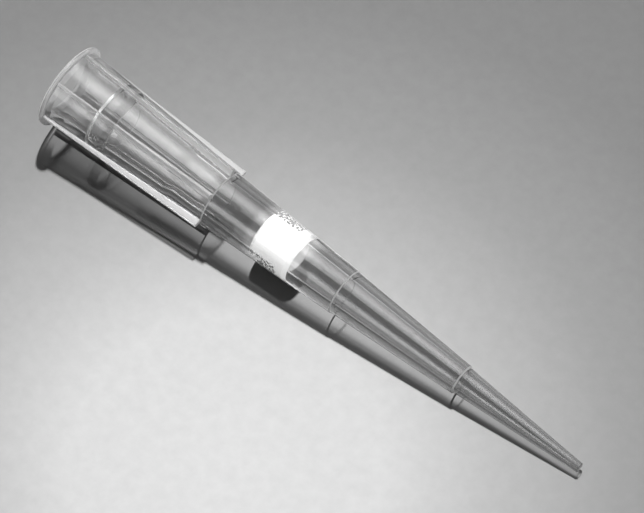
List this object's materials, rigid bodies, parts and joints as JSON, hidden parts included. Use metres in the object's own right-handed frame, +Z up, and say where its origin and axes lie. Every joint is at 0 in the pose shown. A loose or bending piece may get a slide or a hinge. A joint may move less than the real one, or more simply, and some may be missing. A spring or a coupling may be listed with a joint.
{
  "type": "filtered pipette tip",
  "caption": "Slim tapered clear plastic tip with a lipped, ribbed socket at its wide end and a white porous plug in its bore.",
  "frame": {"origin": "centre of the bounding box, on the surface that the tip lies on", "axes": "+Z up; +X along the tip as it lies, from the open mouth to the point; the long axis falls slightly towards the point"},
  "size_m": [0.0512, 0.0073, 0.0074],
  "materials": {
    "clear_polypropylene": "clear, smooth moulded, faintly hazy",
    "porous_polyethylene": "matte, sintered fine grain"
  },
  "bodies": {
    "root": {"tip_body": "clear_polypropylene", "filter_plug": "porous_polyethylene"}
  },
  "joints": []
}
